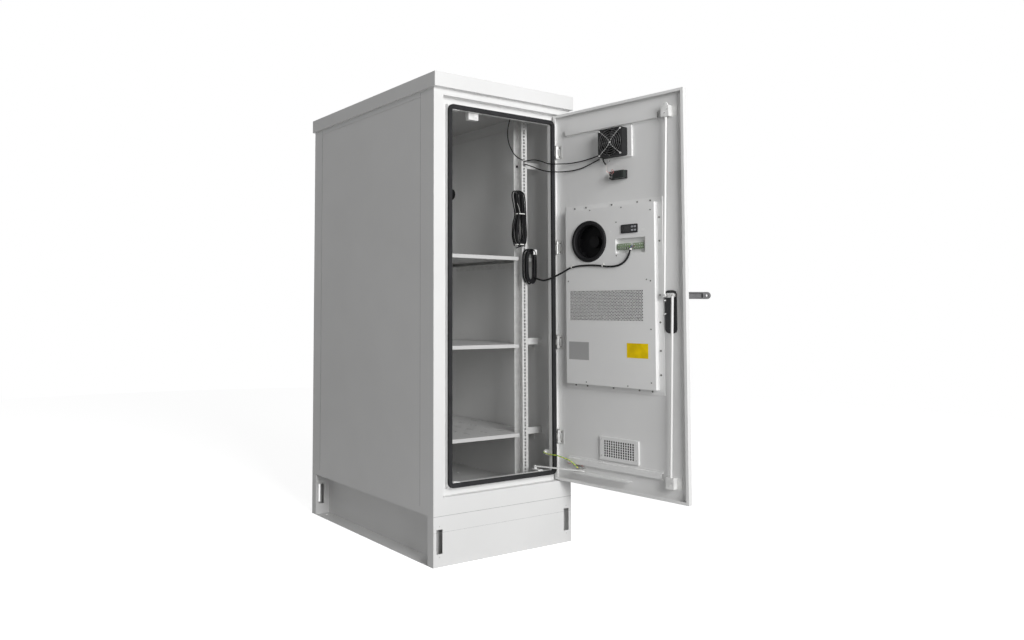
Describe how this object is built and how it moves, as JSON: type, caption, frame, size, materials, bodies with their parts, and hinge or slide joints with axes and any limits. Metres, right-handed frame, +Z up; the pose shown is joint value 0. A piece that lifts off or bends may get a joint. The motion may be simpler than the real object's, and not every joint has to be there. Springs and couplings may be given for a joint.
{
  "type": "outdoor telecom cabinet",
  "caption": "Free-standing roadside equipment cabinet on a plinth, its hinged door open, with rack rails, shelves and a door-mounted cooling unit",
  "frame": {"origin": "centre of the plinth's footprint at floor level, in the plane of the anchor bolts", "axes": "+X right seen from the front, +Y to the back (the front faces -Y), +Z up"},
  "size_m": [0.9185, 1.6855, 1.99],
  "materials": {
    "cabinet_paint": "light grey powder coat, fine texture",
    "cover_paint": "light grey powder coat, smooth",
    "zinc_steel": "zinc plated sheet",
    "bright_wire": "plated wire",
    "black_plastic": "satin black moulding",
    "white_plastic": "white moulding",
    "key_grey": "grey keys",
    "lever_metal": "dark grey coated zinc",
    "rubber": "foamed seal",
    "cable_black": "cable sheath",
    "wire_green": "green and yellow sheath",
    "terminal_green": "green connector"
  },
  "bodies": {
    "cabinet": {"ac_cable": "cable_black", "cabinet_lamp": "white_plastic", "cable_hank_lower": "cable_black", "cable_hank_upper": "cable_black", "ceiling_panel": "cabinet_paint", "door_gasket": "rubber", "earth_wire": "wire_green", "fan_cable_lower": "cable_black", "fan_cable_upper": "cable_black", "floor_pan": "cabinet_paint", "front_frame": "cabinet_paint", "hinge_frame_halves": "zinc_steel", "lamp_cable": "cable_black", "plinth_front": "cabinet_paint", "plinth_rear": "cabinet_paint", "plinth_side_left": "cabinet_paint", "plinth_side_right": "cabinet_paint", "rack_brackets": "zinc_steel", "rack_rail_left": "zinc_steel", "rack_rail_right": "zinc_steel", "rack_rails_rear": "zinc_steel", "rear_frame": "cabinet_paint", "rear_panel": "cabinet_paint", "rod_keepers": "zinc_steel", "roof_cap": "cabinet_paint", "shelf_lower": "cabinet_paint", "shelf_middle": "cabinet_paint", "shelf_upper": "cabinet_paint", "side_frames": "cabinet_paint", "side_panel_left": "cabinet_paint", "side_panel_right": "cabinet_paint", "stay_bracket": "zinc_steel"},
    "door": {"door_panel": "cabinet_paint", "door_stiffeners": "cabinet_paint", "hinge_door_halves": "zinc_steel", "stay_tray": "cabinet_paint", "ac_chassis": "cover_paint", "ac_cover": "cover_paint", "ac_inlet_ring": "black_plastic", "ac_outlet_grille": "cover_paint", "ac_controller": "black_plastic", "ac_terminals": "terminal_green", "fan_bracket": "zinc_steel", "fan_housing": "black_plastic", "fan_guard": "bright_wire", "thermostat": "black_plastic", "vent_grille": "cover_paint", "handle_dish": "black_plastic", "rod_guides": "zinc_steel"},
    "stay_arm": {"stay_arm": "zinc_steel"},
    "ac_blower": {"ac_blower": "black_plastic"},
    "fan_rotor": {"fan_rotor": "black_plastic"},
    "latch_spindle": {"latch_spindle": "zinc_steel"},
    "latch_lever": {"latch_lever": "lever_metal"},
    "latch_rod_upper": {"latch_rod_upper": "zinc_steel"},
    "latch_rod_lower": {"latch_rod_lower": "zinc_steel"},
    "controller_key_1": {"controller_key_1": "key_grey"},
    "controller_key_2": {"controller_key_2": "key_grey"},
    "controller_key_3": {"controller_key_3": "key_grey"},
    "controller_key_4": {"controller_key_4": "key_grey"}
  },
  "joints": [
    {"name": "door_hinge", "type": "hinge", "parent": "cabinet", "child": "door", "pos_m": [0.3125, -0.515, 1], "axis": [0, 0, 1], "range_deg": [-97, 6], "deforming": ["fan_cable_upper", "fan_cable_lower", "ac_cable", "earth_wire"]},
    {"name": "stay_pivot", "type": "hinge", "parent": "cabinet", "child": "stay_arm", "pos_m": [0.224, -0.46, 0.334], "axis": [0, 0, 1], "range_deg": [-105.3, 8]},
    {"name": "ac_blower_spin", "type": "hinge", "parent": "door", "child": "ac_blower", "pos_m": [0.36513, -0.69745, 1.318], "axis": [0.9925, 0.1219, 0], "continuous": true},
    {"name": "fan_spin", "type": "hinge", "parent": "door", "child": "fan_rotor", "pos_m": [0.33079, -0.8281, 1.727], "axis": [0.9925, 0.1219, 0], "continuous": true},
    {"name": "latch_turn", "type": "hinge", "parent": "door", "child": "latch_spindle", "pos_m": [0.39067, -1.06961, 1.083], "axis": [0.9925, 0.1219, 0], "range_deg": [0, 90]},
    {"name": "lever_lift", "type": "hinge", "parent": "latch_spindle", "child": "latch_lever", "pos_m": [0.40258, -1.06814, 1.083], "axis": [0, 0, 1], "range_deg": [-52, 8]},
    {"name": "upper_rod_pin", "type": "hinge", "parent": "latch_spindle", "child": "latch_rod_upper", "pos_m": [0.36565, -1.05454, 1.083], "axis": [0.9925, 0.1219, 0], "range_deg": [-93, 1]},
    {"name": "lower_rod_pin", "type": "hinge", "parent": "latch_spindle", "child": "latch_rod_lower", "pos_m": [0.37004, -1.09028, 1.083], "axis": [0.9925, 0.1219, 0], "range_deg": [-93, 1]},
    {"name": "key_press_1", "type": "slide", "parent": "door", "child": "controller_key_1", "axis": [0.9925, 0.1219, 0], "range_m": [0, 0.0008], "stiffness_N_per_m": 400},
    {"name": "key_press_2", "type": "slide", "parent": "door", "child": "controller_key_2", "axis": [0.9925, 0.1219, 0], "range_m": [0, 0.0008], "stiffness_N_per_m": 400},
    {"name": "key_press_3", "type": "slide", "parent": "door", "child": "controller_key_3", "axis": [0.9925, 0.1219, 0], "range_m": [0, 0.0008], "stiffness_N_per_m": 400},
    {"name": "key_press_4", "type": "slide", "parent": "door", "child": "controller_key_4", "axis": [0.9925, 0.1219, 0], "range_m": [0, 0.0008], "stiffness_N_per_m": 400}
  ],
  "couplings": [
    {"joint": "stay_pivot", "follows": "door_hinge", "ratio": 1.0748},
    {"joint": "upper_rod_pin", "follows": "latch_turn", "ratio": -1.0156},
    {"joint": "lower_rod_pin", "follows": "latch_turn", "ratio": -1.0156}
  ]
}
